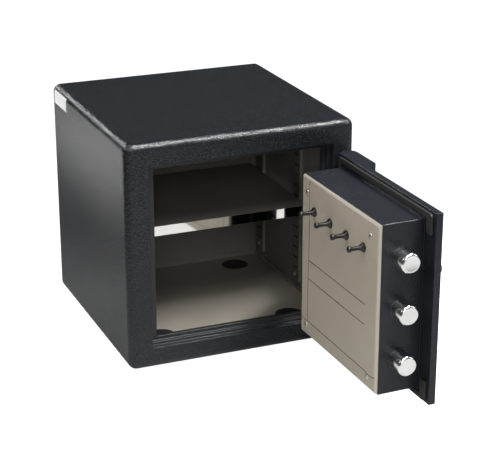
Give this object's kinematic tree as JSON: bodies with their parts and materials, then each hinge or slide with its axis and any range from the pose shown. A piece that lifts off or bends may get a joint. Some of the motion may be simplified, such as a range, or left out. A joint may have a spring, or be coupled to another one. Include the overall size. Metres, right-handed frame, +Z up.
{
  "type": "security safe",
  "caption": "Small free-standing safe with an open hinged door, round sliding bolts, stepped door frame, lift-off shelf, key hooks and floor anchor holes.",
  "frame": {"origin": "centre of the four anchor holes, on the underside of the cabinet", "axes": "+Z up, the front of the cabinet faces -Y, the door is hinged on the +X side"},
  "size_m": [0.3811, 0.7126, 0.36],
  "materials": {
    "body_paint": "textured powder coat",
    "door_paint": "fine textured powder coat",
    "frame_paint": "fine textured powder coat",
    "liner_paint": "satin paint",
    "upright_paint": "satin paint",
    "shelf_paint": "satin paint",
    "panel_paint": "satin paint",
    "polished_steel": "polished",
    "chrome_parts": "polished",
    "zinc_steel": "zinc plated",
    "tool_steel": "ground",
    "brass_parts": "machined",
    "black_plastic": "moulded",
    "seal": "extruded",
    "barrier": "cast",
    "label": "matt"
  },
  "bodies": {
    "cabinet": {"anchor_caps": "black_plastic", "barrier_fill": "barrier", "blank_label": "label", "door_frame": "frame_paint", "floor_tray": "panel_paint", "hinge_block_lower": "body_paint", "hinge_block_upper": "body_paint", "hinge_pin_lower": "zinc_steel", "hinge_pin_upper": "zinc_steel", "hinge_washers": "brass_parts", "inner_liner": "liner_paint", "outer_shell": "body_paint", "shelf_clips": "zinc_steel", "upright_left_front": "upright_paint", "upright_left_rear": "upright_paint", "upright_right_front": "upright_paint", "upright_right_rear": "upright_paint", "upright_screws": "zinc_steel"},
    "door": {"door_plate": "door_paint", "step_plate": "door_paint", "door_seal": "seal", "door_case": "door_paint", "door_fill": "barrier", "hard_plate": "tool_steel", "bolt_bushes": "black_plastic", "dog_bar": "door_paint", "inner_panel": "panel_paint", "panel_screws": "zinc_steel", "key_hooks": "black_plastic", "handle_rose": "black_plastic", "lock_case": "zinc_steel", "key_escutcheon": "black_plastic", "hinge_strap_upper": "door_paint", "hinge_strap_lower": "door_paint"},
    "boltwork": {"locking_bolt_lower": "chrome_parts", "locking_bolt_middle": "chrome_parts", "locking_bolt_upper": "chrome_parts", "carrier_bar": "zinc_steel"},
    "handle": {"handle": "black_plastic", "handle_spindle": "zinc_steel", "handle_cam": "zinc_steel"},
    "lock_bolt": {"lock_bolt": "zinc_steel"},
    "key_cover": {"key_cover": "chrome_parts"},
    "shelf": {"shelf": "shelf_paint", "shelf_trim": "polished_steel"}
  },
  "joints": [
    {"name": "door_swing", "type": "hinge", "parent": "cabinet", "child": "door", "pos_m": [0.1683, -0.2075, 0.18], "axis": [0, 0, 1], "range_deg": [-90.7, 0]},
    {"name": "boltwork_slide", "type": "slide", "parent": "door", "child": "boltwork", "axis": [0.0122, -0.9999, 0], "range_m": [-0.0281, 0]},
    {"name": "handle_turn", "type": "hinge", "parent": "door", "child": "handle", "pos_m": [0.17343, -0.42275, 0.209], "axis": [-0.9999, -0.0122, 0], "range_deg": [-90.1, 0]},
    {"name": "lock_bolt_slide", "type": "slide", "parent": "door", "child": "lock_bolt", "axis": [0, 0, 1], "range_m": [-0.0101, 0]},
    {"name": "key_cover_swing", "type": "hinge", "parent": "door", "child": "key_cover", "pos_m": [0.16013, -0.42292, 0.152], "axis": [-0.9999, -0.0122, 0], "range_deg": [-100, 100]},
    {"name": "shelf_lift", "type": "slide", "parent": "cabinet", "child": "shelf", "axis": [0, 0, 1], "range_m": [0, 0.05]}
  ],
  "couplings": [
    {"joint": "boltwork_slide", "follows": "door_swing", "m_per_rad": 0.017688},
    {"joint": "handle_turn", "follows": "door_swing", "ratio": 0.99228},
    {"joint": "lock_bolt_slide", "follows": "door_swing", "m_per_rad": 0.006317}
  ]
}
